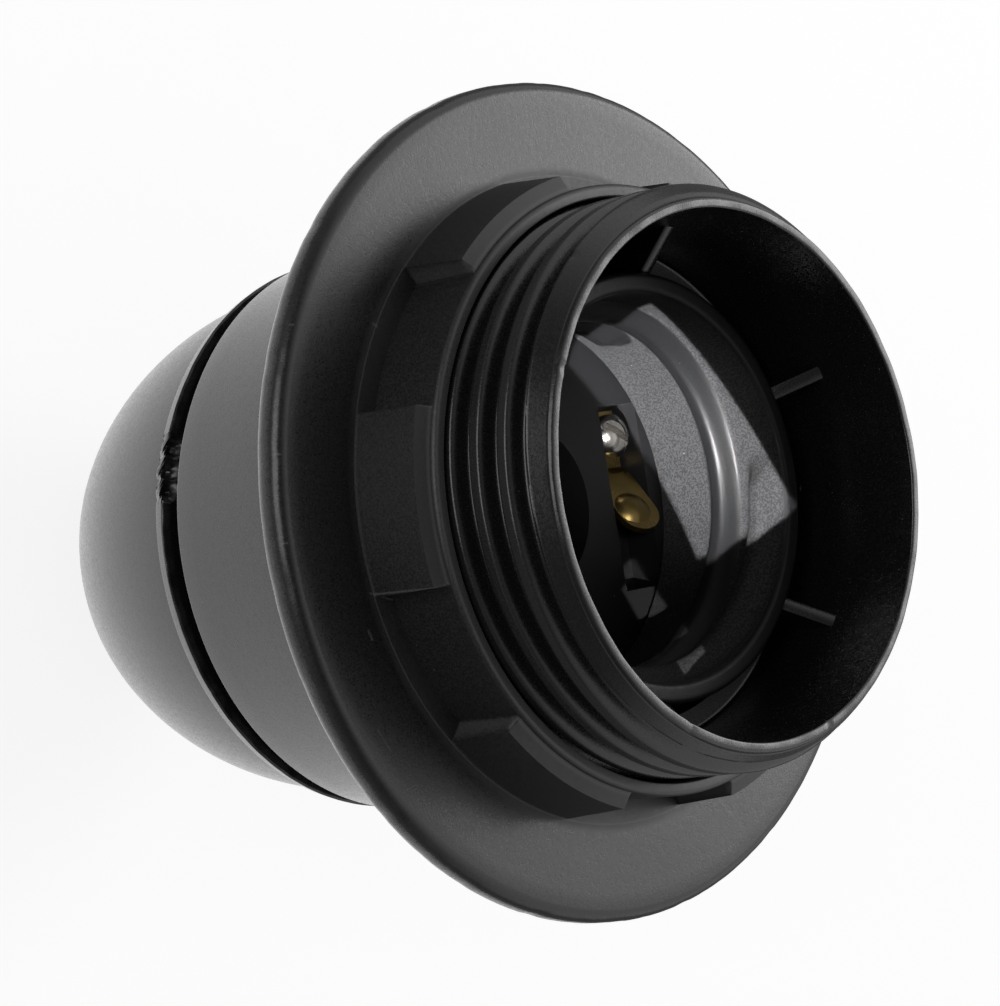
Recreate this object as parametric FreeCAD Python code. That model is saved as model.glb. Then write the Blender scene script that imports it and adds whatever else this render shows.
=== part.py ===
import FreeCAD
import Part
import math
import os

# Screw-shell lamp holder for an E27 lamp, in millimetres.
# The origin is the centre of the entry neck's end face and +Z runs up the axis to the lamp's mouth.
# Heights are counted from the end of the neck. Angles are counted from +X, towards +Y.

V = FreeCAD.Vector
up = V(0, 0, 1)

# Heights along the axis
neck_height = 5.4
dome_height = 18.8
rim_band = 1.4
shadow_gap = 1.7
barrel_length = 18.5
thread_reach = 16.3
flange_thickness = 2.45
collar_height = 5.9
sleeve_set_back = 7.8
sleeve_length = 11.9
groove_set_back = 11.1
groove_floor_thickness = 2.3
spigot_length = 6.7
lock_height = 2.5

# Radii, walls and the sweeps of the dome's arcs
neck_radius = 7.0
entry_bore = 4.5
dome_sweep = 27.0
shoulder_sweep = 6.5
neck_fillet = 0.8
rim_inset = 0.2
rim_overhang = 1.3
rim_draft = 0.3
rim_step = 0.35
dome_wall = 1.6
barrel_step = 0.5
barrel_wall = 1.6
thread_crest = 20.0
thread_depth = 1.2
thread_wall = 1.5
mouth_wall = 0.73
groove_wall = 1.3
sleeve_wall = 1.45
sleeve_lip = 0.45
lamp_major = 13.5
lamp_minor = 12.18
spigot_root = 16.3
spigot_ridge = 0.7
tube_bore = 14.8
tube_neck = 1.5
flange_radius = 29.5
flange_round = 0.9
collar_play = 0.26
collar_wall = 0.9
ring_recess_wall = 0.4
ring_recess = 0.3
lug_base_rise = 1.54
lug_top_rise = 1.08
lug_sink = 0.5
lug_round = 0.4
edge_break = 0.3
lip_break = 0.15

# Threads: pitch, and the angle at which each ridge passes a known height
skirt_pitch = 2.5
skirt_runout_turn = -84.0
skirt_runout = 0.75
skirt_thread_lead = 0.2
skirt_overrun = 0.8
mouth_cone_drop = 1.8
lamp_pitch = 3.629
lamp_thread_turn = 90.0
lamp_thread_top = 1.9
lamp_thread_bottom = 3.3
spigot_pitch = 2.5
spigot_thread_lead = 1.4
ridge_sink = 0.2
ridge_turns = 1.8
ridge_chamfer = 0.3
ridge_flat = 0.5
envelope_sink = 0.6

# The widths of a ridge's foot and top, as shares of its pitch
skirt_ridge_widths = (0.8, 0.32)
lamp_ridge_widths = (0.82, 0.38)
spigot_ridge_widths = (0.72, 0.28)

# Repeats
lug_count = 6
lug_span = 32.0
lug_turn = -95.0
lug_drop = 0.4
web_count = 6
web_thickness = 1.0
web_turn = 50.4
web_rise = 3.0
web_drop = 0.7
hook_count = 3
hook_turn = 30.0

# The torn stretch of the dome's rim: each bite's angle from its middle, width and depth
tear_turn = -110.0
tear_depth = 1.0
tear_near_share = 0.125
tear_far_share = 0.2
tear_far_depth = 0.8
tear_bites = [(-4.6, 2.2, 1.05), (0.2, 1.9, 1.45), (4.2, 2.4, 0.85)]

# Fits
slide_gap = 0.3
seat_gap = 0.3
thread_fit = 0.05
ring_seat_gap = 0.05

# Contact block
block_length = 15.9
block_chamfer = 0.4
well_radius = 5.9
well_depth = 5.6
strip_floor = 2.9
spring_drop = 0.8
strip_room = 0.4
cable_radius = 5.2
cable_share = 0.75
wire_way = 3.4
hook_reach = 0.5
hook_height = 1.6
hook_rise = 2.0
hook_land = 0.4
hook_span = 16.0

# Contact strips and their screws
strip_thickness = 0.45
strip_width = 4.2
strip_tail = 2.0
leaf_floor = 2.8
leaf_thickness = 0.5
leaf_width = 3.4
leaf_tail = 1.9
leaf_room = 0.3
leaf_offset = 10.5
leaf_screw_x = -4.2
leaf_bend_x = -1.9
leaf_end_x = 3.15
leaf_rise = 3.65
leaf_roll = 10.0
leaf_twist_length = 1.0
leaf_pocket_reach = 4.0
leaf_dimple_back = 0.35
leaf_dimple_aside = 0.25
dimple_radius = 1.4
dimple_height = 0.55
contact_screw_radius = 1.25
contact_screw_reach = 2.4
contact_head_radius = 1.6
contact_head_skirt = 0.9
contact_head_dome = 0.9
contact_slot_width = 0.55
contact_slot_depth = 0.55
contact_hole_play = 0.25
centre_slot_turn = 35.0
side_slot_turn = -40.0

# Terminals and their clamp screws
terminal_side = 4.6
terminal_height = 9.0
terminal_floor = 1.0
terminal_set_in = 1.2
terminal_chamfer = 0.25
wire_hole_radius = 1.3
wire_hole_share = 0.45
clamp_screw_radius = 1.5
clamp_bite = 0.1
clamp_head_radius = 2.3
clamp_head_height = 1.6
clamp_head_round = 0.35
clamp_slot_width = 0.7
clamp_slot_depth = 0.8

# Lock screw in the neck
lock_screw_radius = 1.4
lock_screw_length = 3.2
lock_tip_radius = 0.7
lock_tip_length = 0.5
lock_slot_width = 0.5
lock_slot_depth = 0.7
lock_set_back = 0.2

# A tool cuts or joins past the surface that it meets by this much
over = 1.0

# Places worked out from the sizes above
band_back = neck_height + dome_height
dome_front = band_back + rim_band
barrel_back = dome_front + shadow_gap
shoulder_z = barrel_back + barrel_length
mouth_z = shoulder_z + thread_reach
ring_seat = shoulder_z + ring_seat_gap
ring_back = ring_seat - ring_recess
flange_front = ring_back + flange_thickness
thread_root = thread_crest - thread_depth
barrel_radius = thread_crest + barrel_step
rim_radius = barrel_radius - rim_inset
dome_radius = rim_radius - rim_overhang
mouth_bore = thread_root - mouth_wall
groove_bore = thread_root - groove_wall
collar_bore = thread_crest + collar_play
collar_outer = collar_bore + collar_wall
lug_base_radius = collar_outer + lug_base_rise
lug_top_radius = collar_outer + lug_top_rise
sleeve_top = mouth_z - sleeve_set_back
sleeve_bottom = sleeve_top - sleeve_length
groove_floor = mouth_z - groove_set_back
spigot_end = barrel_back - spigot_length
sleeve_outer = lamp_major + sleeve_wall
spigot_crest = spigot_root + spigot_ridge
dome_bore = spigot_crest + slide_gap
block_radius = tube_bore - slide_gap
block_top = sleeve_bottom - seat_gap
block_bottom = block_top - block_length
hook_bottom = block_bottom + hook_rise
hook_crest = block_radius + hook_reach
strip_seat = block_top - strip_floor
strip_low = strip_seat + seat_gap
leaf_seat = block_top - leaf_floor
leaf_low = leaf_seat + seat_gap
terminal_top = strip_seat - spring_drop - terminal_floor
terminal_bottom = terminal_top - terminal_height
wire_z = terminal_bottom + terminal_height * wire_hole_share
clamp_tip = wire_z - wire_hole_radius + clamp_bite
side_screw = V(leaf_screw_x, leaf_offset, 0)
centre_screw = V(-leaf_screw_x, -leaf_offset, 0)
screw_reach = side_screw.Length
terminal_reach = screw_reach - terminal_set_in


def at(radius, z):
    """A point of a section, in the plane that is turned about the axis."""
    return V(radius, 0, z)


def line(a, b):
    return Part.LineSegment(a, b).toShape()


def arc(a, b, c):
    return Part.Arc(a, b, c).toShape()


def outline(points):
    """A closed wire of straight runs through the points."""
    return Part.Wire([line(a, b) for a, b in zip(points, points[1:] + points[:1])])


def chain(points):
    """Straight edges from each point to the next, left open."""
    return [line(a, b) for a, b in zip(points, points[1:])]


def corner(centre, radius, start, end):
    """An arc of a section about a centre, between two angles in degrees above the horizontal."""
    turns = [math.radians(a) for a in (start, (start + end) / 2, end)]
    return arc(*[at(centre.x + radius * math.cos(a), centre.z + radius * math.sin(a)) for a in turns])


def turned(wire):
    """The solid that a section sweeps in one turn about Z."""
    return Part.Face(wire).revolve(V(0, 0, 0), up, 360)


def disc(radius, low, high, x=0.0, y=0.0):
    return Part.makeCylinder(radius, high - low, V(x, y, low))


def box(x_low, x_high, width, z_low, z_high):
    """A block along X, centred on Y."""
    return Part.makeBox(x_high - x_low, width, z_high - z_low, V(x_low, -width / 2, z_low))


def spun(shape, degrees):
    copy = shape.copy()
    copy.rotate(V(0, 0, 0), up, degrees)
    return copy


def moved(shape, x, y, z):
    copy = shape.copy()
    copy.translate(V(x, y, z))
    return copy


def bearing(place):
    """The angle at which a place lies about the axis."""
    return math.degrees(math.atan2(place.y, place.x))


def fused(first, others):
    return first.multiFuse(others).removeSplitter()


def rim_edges(shape, z):
    """The round edges of a shape that lie at one height."""
    return [e for e in shape.Edges if len(e.Vertexes) == 1 and abs(e.Vertexes[0].Z - z) < 1e-6]


def helix_ridge(section, radius, pitch, low, high, turn, z_at_turn):
    """A ridge along a right-hand helix between two heights, as a row of lengths end to end.

    Its middle passes height z_at_turn at the angle turn.
    """
    count = math.ceil((high - low) / (ridge_turns * pitch))
    rise = (high - low) / count
    lengths = []
    for k in range(count):
        foot = low + rise * k
        shell = Part.BRepOffsetAPI.MakePipeShell(Part.makeHelix(pitch, rise, radius))
        shell.setFrenetMode(True)
        shell.add(section)
        shell.build()
        shell.makeSolid()
        start = turn + 360.0 * (foot - z_at_turn) / pitch
        lengths.append(moved(spun(shell.shape(), start), 0, 0, foot))
    return lengths


def ridge_section(root, crest, pitch, shares):
    """A ridge from root to crest with a flat top and broken corners, sunk into its wall."""
    base_width, top_width = [pitch * share for share in shares]
    inward = 1.0 if crest > root else -1.0
    shoulder = crest - inward * abs(crest - root) * ridge_chamfer
    flare = (base_width - top_width) / 2 * ridge_sink / abs(shoulder - root)
    foot = root - inward * ridge_sink
    return outline([
        at(foot, -base_width / 2 - flare),
        at(shoulder, -top_width / 2),
        at(crest, -top_width / 2 * ridge_flat),
        at(crest, top_width / 2 * ridge_flat),
        at(shoulder, top_width / 2),
        at(foot, base_width / 2 + flare),
    ])


def make_dome():
    """The cap: rim band, domed wall, entry neck with a plain bore for the M10 thread."""
    side_centre = at(dome_radius - dome_sweep, band_back)
    pivot_z = neck_height + shoulder_sweep
    drop = band_back - pivot_z
    pivot = at(side_centre.x + math.sqrt((dome_sweep - shoulder_sweep) ** 2 - drop ** 2), pivot_z)
    lean = math.degrees(math.asin(drop / (dome_sweep - shoulder_sweep)))
    inner_sweep = dome_sweep - dome_wall
    inner_shoulder = shoulder_sweep - dome_wall
    ledge_z = spigot_end - seat_gap
    rise = math.degrees(math.asin((band_back - ledge_z) / inner_sweep))
    ledge_in = at(side_centre.x + inner_sweep * math.cos(math.radians(rise)), ledge_z)
    fillet_centre = at(neck_radius + neck_fillet, neck_height - neck_fillet)
    wall = Part.Wire(chain([
        at(dome_bore, dome_front),
        at(rim_radius - lip_break, dome_front),
        at(rim_radius, dome_front - lip_break),
        at(rim_radius - rim_draft, band_back + rim_step),
        at(dome_radius, band_back),
    ]) + [
        corner(side_centre, dome_sweep, 0, -lean),
        corner(pivot, shoulder_sweep, -lean, -90),
        line(at(pivot.x, neck_height), at(neck_radius + neck_fillet, neck_height)),
        corner(fillet_centre, neck_fillet, 90, 180),
    ] + chain([
        at(neck_radius, neck_height - neck_fillet),
        at(neck_radius, edge_break),
        at(neck_radius - edge_break, 0),
        at(entry_bore + edge_break, 0),
        at(entry_bore, edge_break),
        at(entry_bore, neck_height + dome_wall),
        at(pivot.x, neck_height + dome_wall),
    ]) + [
        corner(pivot, inner_shoulder, -90, -lean),
        corner(side_centre, inner_sweep, -lean, -rise),
    ] + chain([ledge_in, at(dome_bore, ledge_z), at(dome_bore, dome_front)]))
    hole = Part.makeCylinder(
        lock_screw_radius + thread_fit, neck_radius + over, V(0, 0, lock_height), V(1, 0, 0))
    return turned(wall).cut([hole] + make_tears())


def make_tears():
    """The torn stretch of the rim: three ragged bites side by side in its front edge."""
    bites = []
    for place, width, depth in tear_bites:
        face = Part.Face(outline([
            V(0, -width / 2, dome_front + lip_break),
            V(0, width / 2, dome_front + lip_break),
            V(0, width * tear_near_share, dome_front - depth),
            V(0, -width * tear_far_share, dome_front - depth * tear_far_depth),
        ]))
        bite = face.extrude(V(tear_depth + over, 0, 0))
        bites.append(spun(moved(bite, rim_radius - tear_depth, 0, 0), tear_turn + place))
    return bites


def make_lock_screw():
    """A slotted grub screw that stops the holder turning on its tube."""
    inner = entry_bore + lock_set_back
    outer = inner + lock_screw_length
    tip = Part.makeCone(
        lock_tip_radius, lock_screw_radius, lock_tip_length, V(inner, 0, lock_height), V(1, 0, 0))
    rod = Part.makeCylinder(
        lock_screw_radius, lock_screw_length - lock_tip_length,
        V(inner + lock_tip_length, 0, lock_height), V(1, 0, 0))
    slot = box(outer - lock_slot_depth, outer + over, 4 * lock_screw_radius,
               lock_height - lock_slot_width / 2, lock_height + lock_slot_width / 2)
    return fused(tip, [rod]).cut(slot)


def skirt_section():
    """Half section of the skirt: barrel, threaded wall, groove, lamp sleeve and spigot."""
    barrel_inner = barrel_radius - barrel_wall
    thread_inner = thread_root - thread_wall
    taper_top = sleeve_bottom
    taper_bottom = taper_top - tube_neck
    core_top = groove_floor - groove_floor_thickness
    groove_low = hook_bottom - seat_gap
    groove_high = hook_bottom + hook_height + seat_gap
    groove_deep = hook_crest + slide_gap
    lip_z = sleeve_top - sleeve_lip
    outer_lip = at(sleeve_outer - sleeve_lip, lip_z)
    inner_lip = at(lamp_major + sleeve_lip, lip_z)
    barrel_round = at(barrel_radius - edge_break, barrel_back + edge_break)
    mouth_round = at(thread_root - edge_break, mouth_z - edge_break)
    return Part.Wire(chain([
        at(tube_bore, spigot_end),
        at(spigot_root - edge_break, spigot_end),
        at(spigot_root, spigot_end + edge_break),
        at(spigot_root, taper_bottom),
        at(sleeve_outer, taper_top),
        at(sleeve_outer, core_top),
        at(thread_inner, core_top),
        at(thread_inner, shoulder_z),
        at(barrel_inner, shoulder_z - barrel_wall),
        at(barrel_inner, barrel_back),
        at(barrel_radius - edge_break, barrel_back),
    ]) + [
        corner(barrel_round, edge_break, -90, 0),
    ] + chain([
        at(barrel_radius, barrel_back + edge_break),
        at(barrel_radius, shoulder_z),
        at(thread_root, shoulder_z),
        at(thread_root, mouth_z - edge_break),
    ]) + [
        corner(mouth_round, edge_break, 0, 90),
    ] + chain([
        at(thread_root - edge_break, mouth_z),
        at(mouth_bore + lip_break, mouth_z),
        at(mouth_bore, mouth_z - lip_break),
        at(groove_bore, groove_floor),
        at(sleeve_outer, groove_floor),
        at(sleeve_outer, lip_z),
    ]) + [
        corner(outer_lip, sleeve_lip, 0, 90),
        line(at(outer_lip.x, sleeve_top), at(inner_lip.x, sleeve_top)),
        corner(inner_lip, sleeve_lip, 90, 180),
    ] + chain([
        at(lamp_major, lip_z),
        at(lamp_major, sleeve_bottom),
        at(tube_bore, sleeve_bottom),
        at(tube_bore, groove_high),
        at(groove_deep, groove_high),
        at(groove_deep, groove_low),
        at(tube_bore, groove_low),
        at(tube_bore, spigot_end),
    ]))


def make_webs():
    """Thin radial webs in the groove, their top edges sloping up from the sleeve to the wall."""
    reach_in = sleeve_outer - sleeve_wall / 3
    reach_out = thread_root - edge_break
    top_in = sleeve_top - web_drop
    blank = Part.Face(outline([
        at(reach_in, groove_floor - edge_break),
        at(reach_out, groove_floor - edge_break),
        at(reach_out, top_in + web_rise),
        at(reach_in, top_in),
    ])).extrude(V(0, web_thickness, 0))
    blank = moved(blank, 0, -web_thickness / 2, 0)
    return [spun(blank, web_turn + 360.0 / web_count * k) for k in range(web_count)]


def make_skirt():
    """The skirt, one moulding with its three threads."""
    outer = helix_ridge(
        ridge_section(thread_root, thread_crest, skirt_pitch, skirt_ridge_widths), thread_root,
        skirt_pitch, shoulder_z + skirt_thread_lead, mouth_z + skirt_overrun,
        skirt_runout_turn, mouth_z - skirt_runout)
    envelope_root = thread_root - envelope_sink
    envelope = turned(outline([
        at(envelope_root, shoulder_z),
        at(thread_crest + over, shoulder_z),
        at(thread_crest + over, mouth_z - mouth_cone_drop - over),
        at(thread_root, mouth_z - edge_break),
        at(envelope_root, mouth_z - edge_break),
    ]))
    inner = helix_ridge(
        ridge_section(lamp_major, lamp_minor, lamp_pitch, lamp_ridge_widths), lamp_major,
        lamp_pitch, sleeve_bottom + lamp_thread_bottom, sleeve_top - lamp_thread_top,
        lamp_thread_turn, sleeve_top - lamp_thread_top)
    lower = helix_ridge(
        ridge_section(spigot_root, spigot_crest, spigot_pitch, spigot_ridge_widths), spigot_root,
        spigot_pitch, spigot_end + spigot_thread_lead, barrel_back - spigot_thread_lead, 0.0, spigot_end)
    skirt = turned(skirt_section())
    for length in [part.common(envelope) for part in outer] + inner + lower:
        skirt = skirt.fuse(length)
    return skirt.fuse(make_webs())


def make_ring():
    """The shade ring: flange, thin collar and its grip lugs."""
    collar_top = flange_front + collar_height
    recess_wall = barrel_radius + ring_recess_wall
    rim = flange_radius - flange_round
    back_round = at(rim, ring_back + flange_round)
    front_round = at(rim, flange_front - flange_round)
    ring = turned(Part.Wire(chain([
        at(collar_bore, ring_seat),
        at(recess_wall, ring_seat),
        at(recess_wall, ring_back),
        at(rim, ring_back),
    ]) + [
        corner(back_round, flange_round, -90, 0),
        line(at(flange_radius, back_round.z), at(flange_radius, front_round.z)),
        corner(front_round, flange_round, 0, 90),
    ] + chain([
        at(rim, flange_front),
        at(collar_outer, flange_front),
        at(collar_outer, collar_top - lip_break),
        at(collar_outer - lip_break, collar_top),
        at(collar_bore, collar_top),
        at(collar_bore, ring_seat),
    ])))
    lug_top = collar_top - lug_drop
    lug_back = flange_front - lug_sink
    lug_inner = collar_bore + collar_wall / 2
    lug = Part.Face(outline([
        at(lug_inner, lug_back),
        at(lug_base_radius, lug_back),
        at(lug_base_radius, flange_front),
        at(lug_top_radius, lug_top),
        at(lug_inner, lug_top),
    ])).revolve(V(0, 0, 0), up, lug_span)
    upright = [e for e in lug.Edges
               if abs(e.Vertexes[0].Z - e.Vertexes[-1].Z) > collar_height / 2
               and min(math.hypot(v.X, v.Y) for v in e.Vertexes) > collar_outer]
    lug = lug.makeFillet(lug_round, upright)
    step = 360.0 / lug_count
    return fused(ring, [spun(lug, lug_turn - lug_span / 2 + step * k) for k in range(lug_count)])


def make_block():
    """The contact block: a moulded plug with a central well, strip slots, pockets and snap hooks."""
    body = disc(block_radius, block_bottom, block_top)
    body = body.makeChamfer(block_chamfer, rim_edges(body, block_top) + rim_edges(body, block_bottom))
    slot_width = strip_width + 2 * strip_room
    slot = box(0, screw_reach + strip_tail + strip_room, slot_width, strip_seat, block_top + over)
    spring_room = box(0, screw_reach - strip_tail, slot_width, strip_seat - spring_drop, block_top)
    leaf_pocket = box(leaf_screw_x - leaf_tail - leaf_room, leaf_end_x + leaf_pocket_reach,
                      leaf_width + 2 * leaf_room, leaf_seat, block_top + over)
    cuts = [
        disc(well_radius, block_top - well_depth, block_top + over),
        disc(cable_radius, block_bottom - over, terminal_bottom + terminal_height * cable_share),
        spun(slot, bearing(centre_screw)),
        spun(spring_room, bearing(centre_screw)),
        moved(leaf_pocket, 0, leaf_offset, 0),
    ]
    for place in (side_screw, centre_screw):
        cuts.append(terminal_pocket(place))
        cuts.append(disc(contact_screw_radius + slide_gap, terminal_top, strip_seat + over, place.x, place.y))
    return fused(body.cut(cuts), make_hooks())


def make_hooks():
    """Snap hooks round the block that catch in the skirt's groove, ramped towards the lamp."""
    root = block_radius - hook_reach
    hook = Part.Face(outline([
        at(root, hook_bottom),
        at(hook_crest, hook_bottom),
        at(hook_crest, hook_bottom + hook_land),
        at(root, hook_bottom + hook_height),
    ])).revolve(V(0, 0, 0), up, hook_span)
    return [spun(hook, hook_turn + 360.0 / hook_count * k) for k in range(hook_count)]


def terminal_pocket(place):
    """The room that a terminal takes, open to the back, with a way for its wire from the middle."""
    side = terminal_side + 2 * seat_gap
    low = block_bottom - over
    room = box(terminal_reach - side / 2, terminal_reach + side / 2, side, low, terminal_top + seat_gap)
    way = box(0, terminal_reach, wire_way, low, wire_z + wire_way / 2)
    return spun(fused(room, [way]), bearing(place))


def make_terminal(place):
    """A brass block with a wire hole, a clamp screw hole from below and a contact screw hole on top."""
    half = terminal_side / 2
    body = box(terminal_reach - half, terminal_reach + half, terminal_side, terminal_bottom, terminal_top)
    body = body.makeChamfer(terminal_chamfer, body.Edges)
    wire = Part.makeCylinder(wire_hole_radius, 2 * terminal_reach, V(0, 0, wire_z), V(1, 0, 0))
    clamp = disc(clamp_screw_radius + thread_fit, terminal_bottom - over, wire_z, terminal_reach, 0)
    top = disc(contact_screw_radius + thread_fit, terminal_top - contact_screw_reach - slide_gap,
               terminal_top + over, screw_reach, 0)
    return spun(body.cut([wire, clamp, top]), bearing(place))


def make_clamp_screw(place):
    """A slotted cheese-head screw that rises into the terminal from below."""
    head_top = terminal_bottom - seat_gap
    head_bottom = head_top - clamp_head_height
    shank = disc(clamp_screw_radius, head_top, clamp_tip, terminal_reach, 0)
    head = disc(clamp_head_radius, head_bottom, head_top, terminal_reach, 0)
    head = head.makeFillet(clamp_head_round, rim_edges(head, head_bottom))
    slot = box(terminal_reach - clamp_slot_width / 2, terminal_reach + clamp_slot_width / 2,
               3 * clamp_head_radius, head_bottom - over, head_bottom + clamp_slot_depth)
    return spun(fused(head, [shank]).cut(slot), bearing(place))


def make_contact_screw(place, strip_top, twist):
    """A domed, slotted screw that holds a contact strip to its terminal."""
    under = strip_top + seat_gap
    dome_base = under + contact_head_skirt
    top = dome_base + contact_head_dome
    shank = disc(contact_screw_radius, terminal_top - contact_screw_reach, under)
    head = disc(contact_head_radius, under, dome_base)
    ball_radius = (contact_head_radius ** 2 + contact_head_dome ** 2) / (2 * contact_head_dome)
    ball = Part.makeSphere(ball_radius, V(0, 0, top - ball_radius))
    dome = ball.common(disc(contact_head_radius, dome_base, top + over))
    slot = box(-contact_slot_width / 2, contact_slot_width / 2, 3 * contact_head_radius,
               top - contact_slot_depth, top + over)
    screw = fused(shank, [head, dome]).cut(spun(slot, twist))
    return moved(screw, place.x, place.y, 0)


def make_centre_contact():
    """A bronze strip from its screw to the axis, with a round contact dimple."""
    plate = box(0, screw_reach + strip_tail, strip_width, strip_low, strip_low + strip_thickness)
    nose = disc(strip_width / 2, strip_low, strip_low + strip_thickness)
    dish = moved(dimple(strip_thickness), 0, 0, strip_low + strip_thickness)
    hole = disc(contact_screw_radius + contact_hole_play, strip_low - over, strip_low + over, screw_reach, 0)
    return spun(fused(plate, [nose, dish]).cut(hole), bearing(centre_screw))


def dimple(thickness):
    """A low round boss on the plane z = 0, rooted in the strip below it."""
    ball_radius = (dimple_radius ** 2 + dimple_height ** 2) / (2 * dimple_height)
    ball = Part.makeSphere(ball_radius, V(0, 0, dimple_height - ball_radius))
    return ball.common(disc(dimple_radius, -thickness / 2, dimple_height))


def leaf_end_face(x):
    """The leaf's own cross-section, square to X."""
    half = leaf_width / 2
    return outline([V(x, -half, 0), V(x, half, 0), V(x, half, leaf_thickness), V(x, -half, leaf_thickness)])


def make_side_contact():
    """A brass leaf: a flat foot under its screw, a short twist, then a rising tongue with a round end."""
    half = leaf_width / 2
    run = leaf_end_x - leaf_bend_x
    slope = math.degrees(math.atan2(leaf_rise, run))
    nose_x = math.hypot(leaf_rise, run) - half
    foot = box(leaf_screw_x - leaf_tail, leaf_bend_x, leaf_width, 0, leaf_thickness)
    tongue = fused(box(leaf_twist_length, nose_x, leaf_width, 0, leaf_thickness), [
        disc(half, 0, leaf_thickness, nose_x),
        moved(dimple(leaf_thickness), nose_x - leaf_dimple_back, -leaf_dimple_aside, leaf_thickness),
    ])
    far = leaf_end_face(leaf_twist_length)
    for piece in (tongue, far):
        piece.rotate(V(0, 0, 0), V(1, 0, 0), leaf_roll)
        piece.rotate(V(0, 0, 0), V(0, 1, 0), -slope)
    twist = Part.makeLoft([leaf_end_face(0), far], True, True)
    leaf = fused(foot, [moved(twist, leaf_bend_x, 0, 0), moved(tongue, leaf_bend_x, 0, 0)])
    leaf = leaf.cut(disc(contact_screw_radius + contact_hole_play, -over, over, leaf_screw_x))
    return moved(leaf, 0, leaf_offset, leaf_low)


def save(name, shape):
    if shape.ShapeType == "Compound" and len(shape.Solids) == 1:
        shape = shape.Solids[0]
    if not shape.isValid():
        print("not valid:", name)
    print("%-24s solids %d volume %9.2f mm3" % (name, len(shape.Solids), shape.Volume))
    shape.exportStep("parts/%s.step" % name)


def main():
    os.makedirs("parts", exist_ok=True)
    save("dome_cap", make_dome())
    save("entry_lock_screw", make_lock_screw())
    save("threaded_skirt", make_skirt())
    save("shade_ring", make_ring())
    save("contact_block", make_block())
    save("centre_terminal", make_terminal(centre_screw))
    save("side_terminal", make_terminal(side_screw))
    save("centre_clamp_screw", make_clamp_screw(centre_screw))
    save("side_clamp_screw", make_clamp_screw(side_screw))
    save("centre_contact", make_centre_contact())
    strip_top = strip_low + strip_thickness
    leaf_top = leaf_low + leaf_thickness
    save("centre_contact_screw", make_contact_screw(centre_screw, strip_top, centre_slot_turn))
    save("side_contact", make_side_contact())
    save("side_contact_screw", make_contact_screw(side_screw, leaf_top, side_slot_turn))


main()
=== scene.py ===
import bpy
import math
import numpy as np
from mathutils import Matrix, Vector


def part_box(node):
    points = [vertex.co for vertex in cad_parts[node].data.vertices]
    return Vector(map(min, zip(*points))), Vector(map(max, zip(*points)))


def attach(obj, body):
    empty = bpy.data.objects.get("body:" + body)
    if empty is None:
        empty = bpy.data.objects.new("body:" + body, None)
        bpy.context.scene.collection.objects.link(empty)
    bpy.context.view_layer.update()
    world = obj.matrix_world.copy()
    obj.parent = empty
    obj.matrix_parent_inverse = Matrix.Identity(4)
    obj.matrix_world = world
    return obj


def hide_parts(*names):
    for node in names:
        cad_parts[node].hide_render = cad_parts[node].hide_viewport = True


# A lamp holder of black plastic, dressed for a close product shot. Lengths are in millimetres where a
# name says so, and turned into metres as each mesh is made. Angles are in degrees from +X towards +Y.

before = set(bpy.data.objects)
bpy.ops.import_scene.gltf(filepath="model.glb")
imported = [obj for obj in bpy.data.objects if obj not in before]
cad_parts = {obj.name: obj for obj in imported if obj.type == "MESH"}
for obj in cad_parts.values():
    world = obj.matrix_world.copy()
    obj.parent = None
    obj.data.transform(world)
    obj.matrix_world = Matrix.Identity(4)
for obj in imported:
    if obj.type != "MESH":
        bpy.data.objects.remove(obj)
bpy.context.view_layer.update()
mm = 0.001
print("frame loaded")


def top(node):
    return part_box(node)[1].z / mm


def bottom(node):
    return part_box(node)[0].z / mm


def reach(node):
    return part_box(node)[1].y / mm


# Heights and radii that come from the frame
mouthZ = top("threaded_skirt")
spigotZ = bottom("threaded_skirt")
barrelR = reach("threaded_skirt")
ringBackZ = bottom("shade_ring")
collarTopZ = top("shade_ring")
flangeR = reach("shade_ring")
domeTopZ = top("dome_cap")
domeR = reach("dome_cap")


# Shader building


class Wire:
    # a socket that takes part in sums
    def __init__(self, shop, socket):
        self.shop = shop
        self.socket = socket

    def sum(self, operation, *values):
        return self.shop.add("ShaderNodeMath", {"operation": operation}, dict(enumerate(values)))

    def __add__(self, other):
        return self.sum("ADD", self, other)

    def __radd__(self, other):
        return self.sum("ADD", other, self)

    def __sub__(self, other):
        return self.sum("SUBTRACT", self, other)

    def __rsub__(self, other):
        return self.sum("SUBTRACT", other, self)

    def __mul__(self, other):
        return self.sum("MULTIPLY", self, other)

    def __rmul__(self, other):
        return self.sum("MULTIPLY", other, self)

    def __pow__(self, other):
        return self.sum("POWER", self, other)

    def __abs__(self):
        return self.sum("ABSOLUTE", self)

    def above(self, edge, soft):
        # 0 below the edge, 1 above it, with a soft step
        return self.shop.add("ShaderNodeMapRange", {"interpolation_type": "SMOOTHSTEP"},
                             {"Value": self, "From Min": edge - soft, "From Max": edge + soft})

    def near(self, place, width):
        # 1 at a place, 0 further off than the width
        return 1 - abs(self - place).above(width * 0.55, width * 0.45)

    def max(self, other):
        return self.sum("MAXIMUM", self, other)

    def clamped(self):
        return self.sum("MAXIMUM", self.sum("MINIMUM", self, 1.0), 0.0)


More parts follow.
